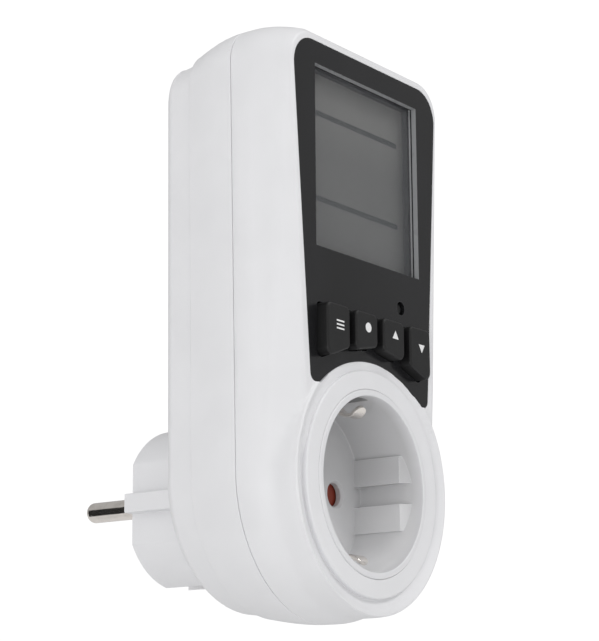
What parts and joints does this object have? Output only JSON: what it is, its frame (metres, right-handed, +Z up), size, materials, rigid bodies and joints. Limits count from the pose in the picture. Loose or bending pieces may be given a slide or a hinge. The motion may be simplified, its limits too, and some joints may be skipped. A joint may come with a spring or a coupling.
{
  "type": "plug in power meter",
  "caption": "Plug-in mains power meter with a display, push keys, a round side-earthed plug behind and a matching socket in front.",
  "frame": {"origin": "midpoint between the two mains pins, on the plug's face", "axes": "+Y along the pins into the wall socket, +Z up towards the display, +X to the right seen from the front"},
  "size_m": [0.0664, 0.0776, 0.1311],
  "materials": {
    "white_plastic": "fine satin moulded ABS",
    "socket_plastic": "satin moulded thermoplastic",
    "light_plastic": "matt moulded plastic",
    "dark_plastic": "matt dark grey moulded plastic",
    "gloss_black": "polished black acrylic",
    "clear_window": "clear acrylic lens",
    "lcd_grey": "unlit reflective display",
    "reflector_film": "matt film",
    "pink_rubber": "soft elastomer",
    "circuit_board": "solder-masked laminate",
    "black_resin": "moulded epoxy",
    "steel": "zinc-plated steel",
    "matt_black": "fine matt texture",
    "grey_rubber": "silicone rubber",
    "red_plastic": "red-brown moulded plastic",
    "brass": "bright brass",
    "nickel": "bright nickel plate",
    "copper": "manganin strip",
    "brown_sleeve": "PVC sleeve",
    "blue_sleeve": "PVC sleeve",
    "grey_sleeve": "PVC ribbon",
    "ceramic": "ceramic body",
    "blue_coating": "epoxy coating",
    "yellow_plastic": "moulded box",
    "red_coating": "epoxy coating",
    "dark_sleeve": "shrink sleeve",
    "green_sleeve": "shrink sleeve",
    "insulator": "pressboard sheet"
  },
  "bodies": {
    "housing": {"front_cover": "white_plastic", "rear_cover": "white_plastic", "front_panel": "gloss_black", "display_window": "clear_window", "lcd_frame": "dark_plastic", "lcd_glass": "lcd_grey", "lcd_reflector": "reflector_film", "elastomer_strips": "pink_rubber", "display_board": "circuit_board", "controller_chip": "black_resin", "display_crystal": "steel", "display_board_screws": "steel", "keypad_mat": "grey_rubber", "reset_switch": "steel", "socket_insert": "socket_plastic", "shutter_pivot": "socket_plastic", "shutter_spring": "steel", "contact_carrier": "light_plastic", "carrier_screws": "steel", "live_contact": "brass", "neutral_contact": "brass", "upper_earth_clip": "nickel", "lower_earth_clip": "nickel", "earth_bridge": "nickel", "plug_body": "white_plastic", "live_pin": "nickel", "neutral_pin": "nickel", "upper_plug_earth": "nickel", "lower_plug_earth": "nickel", "current_shunt": "copper", "neutral_busbar": "brass", "live_wire": "brown_sleeve", "neutral_wire": "blue_sleeve", "main_board": "circuit_board", "main_board_screws": "steel", "fuse": "ceramic", "varistor": "blue_coating", "suppression_capacitor": "yellow_plastic", "dropper_capacitor": "red_coating", "smoothing_capacitor": "dark_sleeve", "rectifier_diodes": "black_resin", "metering_chip": "black_resin", "backup_battery": "green_sleeve", "board_headers": "light_plastic", "ribbon_cable": "grey_sleeve", "insulating_sheet": "insulator", "case_screws": "steel"},
    "function_key_body": {"function_key": "matt_black"},
    "cost_key_body": {"cost_key": "matt_black"},
    "up_key_body": {"up_key": "matt_black"},
    "down_key_body": {"down_key": "matt_black"},
    "reset_body": {"reset_button": "matt_black", "reset_plunger": "matt_black"},
    "shutter_body": {"shutter": "red_plastic"}
  },
  "joints": [
    {"name": "function_press", "type": "slide", "parent": "housing", "child": "function_key_body", "axis": [0, 1, 0], "range_m": [0, 0.001], "stiffness_N_per_m": 1500, "springref_m": -0.0002, "deforming": ["keypad_mat"]},
    {"name": "cost_press", "type": "slide", "parent": "housing", "child": "cost_key_body", "axis": [0, 1, 0], "range_m": [0, 0.001], "stiffness_N_per_m": 1500, "springref_m": -0.0002, "deforming": ["keypad_mat"]},
    {"name": "up_press", "type": "slide", "parent": "housing", "child": "up_key_body", "axis": [0, 1, 0], "range_m": [0, 0.001], "stiffness_N_per_m": 1500, "springref_m": -0.0002, "deforming": ["keypad_mat"]},
    {"name": "down_press", "type": "slide", "parent": "housing", "child": "down_key_body", "axis": [0, 1, 0], "range_m": [0, 0.001], "stiffness_N_per_m": 1500, "springref_m": -0.0002, "deforming": ["keypad_mat"]},
    {"name": "reset_press", "type": "slide", "parent": "housing", "child": "reset_body", "axis": [0, 1, 0], "range_m": [0, 0.0003], "stiffness_N_per_m": 3000, "springref_m": -0.0001},
    {"name": "shutter_turn", "type": "hinge", "parent": "housing", "child": "shutter_body", "pos_m": [0, -0.036, 0.0017], "axis": [0, 1, 0], "range_deg": [0, 40], "stiffness_Nm_per_rad": 0.004, "springref_deg": -11.46, "deforming": ["shutter_spring"]}
  ]
}
